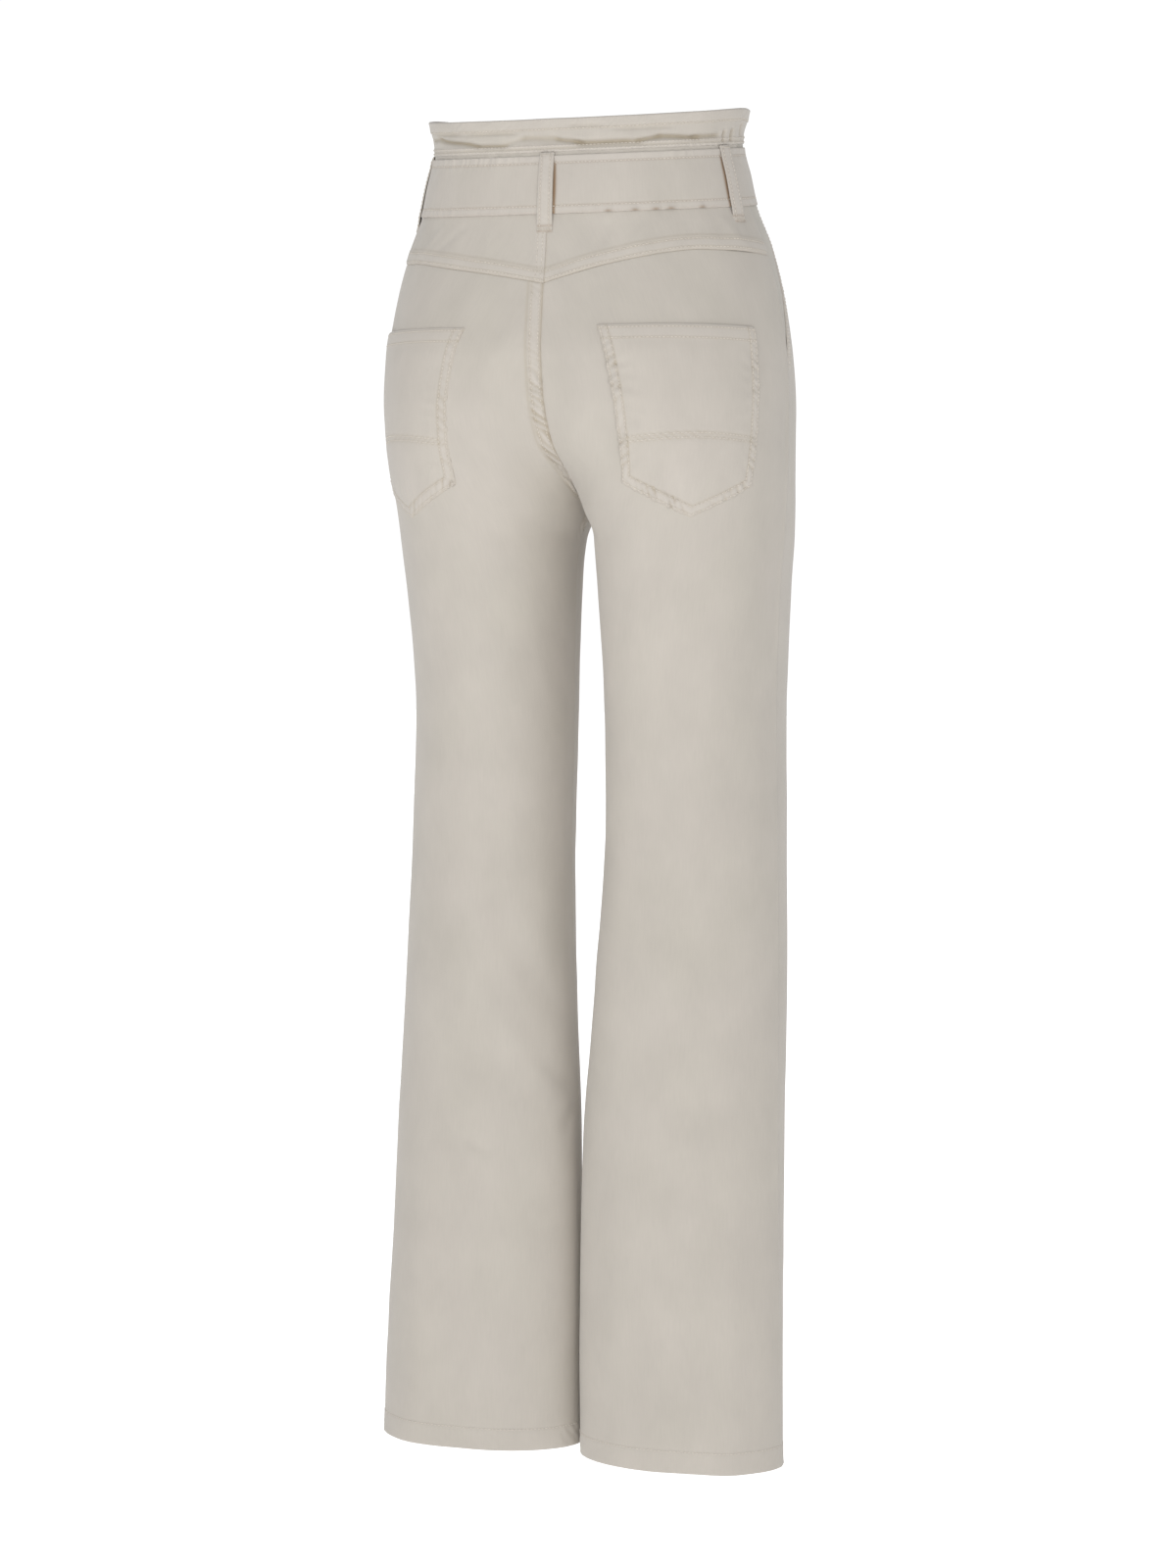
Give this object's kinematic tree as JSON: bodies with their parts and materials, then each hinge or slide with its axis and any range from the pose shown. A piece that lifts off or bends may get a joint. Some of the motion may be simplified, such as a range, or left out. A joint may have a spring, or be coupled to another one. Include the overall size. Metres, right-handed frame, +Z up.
{
  "type": "paperbag waist trousers",
  "caption": "High-waisted straight-leg twill trousers in worn form, with a paperbag frill, tied self belt in loops, pointed back yoke and patch back pockets.",
  "frame": {"origin": "centre of the waist at the middle of the belt, where the wearer holds the garment up", "axes": "+Z up along the body, -Y towards the wearer's front, +X towards the wearer's left"},
  "size_m": [0.3437, 0.2356, 1.0917],
  "materials": {
    "twill": "washed ecru cotton twill",
    "pocket_twill": "washed ecru cotton twill",
    "belt_twill": "washed ecru cotton twill, doubled",
    "facing_twill": "ecru cotton twill"
  },
  "bodies": {
    "root": {"back_left": "twill", "back_right": "twill", "front_left": "twill", "front_right": "twill", "yoke_left": "twill", "yoke_right": "twill", "pocket_facing_left": "facing_twill", "pocket_facing_right": "facing_twill", "back_pocket_left": "pocket_twill", "back_pocket_right": "pocket_twill", "fly_placket": "twill", "frill": "twill", "belt": "belt_twill", "belt_loop_back": "belt_twill", "belt_loop_side_left": "belt_twill", "belt_loop_side_right": "belt_twill", "belt_loop_front_left": "belt_twill", "belt_loop_front_right": "belt_twill", "belt_knot": "belt_twill", "belt_tail_left": "belt_twill", "belt_tail_right": "belt_twill"}
  },
  "joints": []
}
